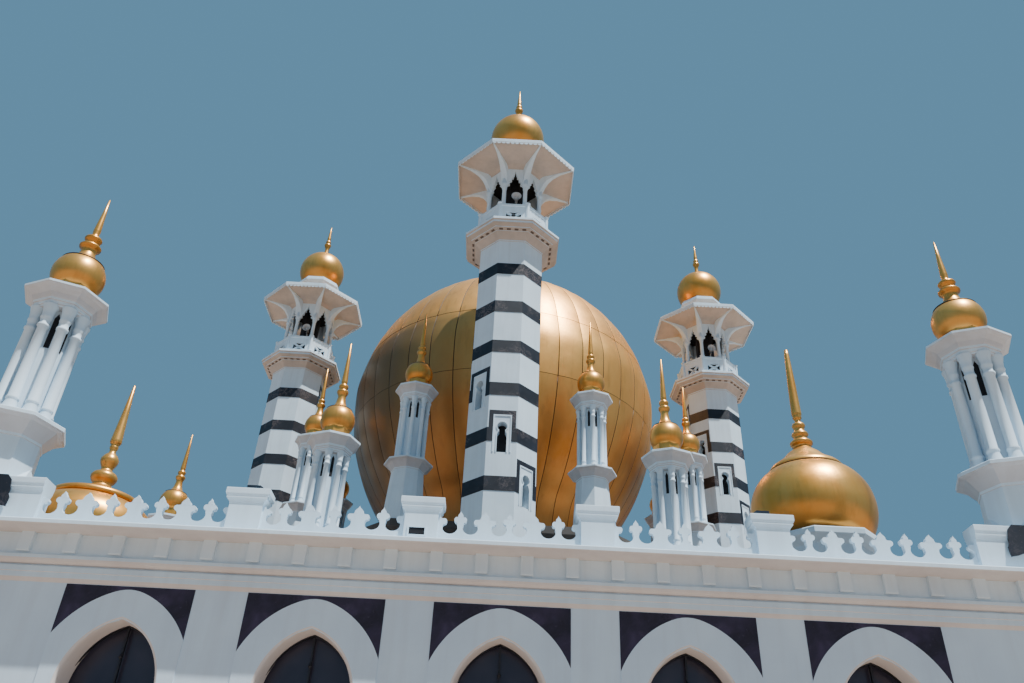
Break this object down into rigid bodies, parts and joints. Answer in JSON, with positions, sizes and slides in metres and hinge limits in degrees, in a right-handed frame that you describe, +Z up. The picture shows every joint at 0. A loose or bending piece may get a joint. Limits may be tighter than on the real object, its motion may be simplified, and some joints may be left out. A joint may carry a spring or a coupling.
{
  "type": "domed mosque",
  "caption": "White mosque with an arcaded front wing, an octagonal hall under a large gold dome, striped minarets and rings of small domed turrets.",
  "frame": {"origin": "on the ground under the middle of the footprint box", "axes": "+Z up, the arcaded front faces -Y, +X to the right when facing the front"},
  "size_m": [27.3004, 38.8852, 33.2],
  "materials": {
    "white_plaster": "painted render, slightly weathered",
    "gold_panels": "satin gold panels with dark seams",
    "concrete": "painted concrete deck",
    "glazing": "dark tinted glass"
  },
  "bodies": {
    "root": {"corner_turret_left": "white_plaster", "corner_turret_right": "white_plaster", "cornice": "white_plaster", "dome_base": "white_plaster", "dome_foot": "gold_panels", "drum_wall": "white_plaster", "floor_slab": "concrete", "front_wall": "white_plaster", "hall_glazing": "glazing", "hall_roof": "concrete", "hall_wall_front": "white_plaster", "hall_wall_front_left": "white_plaster", "hall_wall_front_right": "white_plaster", "hall_wall_left": "white_plaster", "hall_wall_rear": "white_plaster", "hall_wall_rear_left": "white_plaster", "hall_wall_rear_right": "white_plaster", "hall_wall_right": "white_plaster", "left_wall": "white_plaster", "lower_turret_1": "white_plaster", "lower_turret_2": "white_plaster", "lower_turret_3": "white_plaster", "lower_turret_4": "white_plaster", "lower_turret_5": "white_plaster", "lower_turret_6": "white_plaster", "lower_turret_7": "white_plaster", "lower_turret_8": "white_plaster", "main_dome": "gold_panels", "minaret_front_dome": "gold_panels", "minaret_front_lantern": "white_plaster", "minaret_front_shaft": "white_plaster", "minaret_left_dome": "gold_panels", "minaret_left_lantern": "white_plaster", "minaret_left_shaft": "white_plaster", "minaret_rear_dome": "gold_panels", "minaret_rear_lantern": "white_plaster", "minaret_rear_shaft": "white_plaster", "minaret_right_dome": "gold_panels", "minaret_right_lantern": "white_plaster", "minaret_right_shaft": "white_plaster", "parapet_front": "white_plaster", "parapet_left": "white_plaster", "parapet_right": "white_plaster", "right_wall": "white_plaster", "side_dome_left": "gold_panels", "side_dome_right": "gold_panels", "upper_roof": "concrete", "upper_turret_1": "white_plaster", "upper_turret_2": "white_plaster", "upper_turret_3": "white_plaster", "upper_turret_4": "white_plaster", "upper_turret_5": "white_plaster", "upper_turret_6": "white_plaster", "upper_turret_7": "white_plaster", "upper_turret_8": "white_plaster", "wing_glazing": "glazing", "wing_roof": "concrete"}
  },
  "joints": []
}
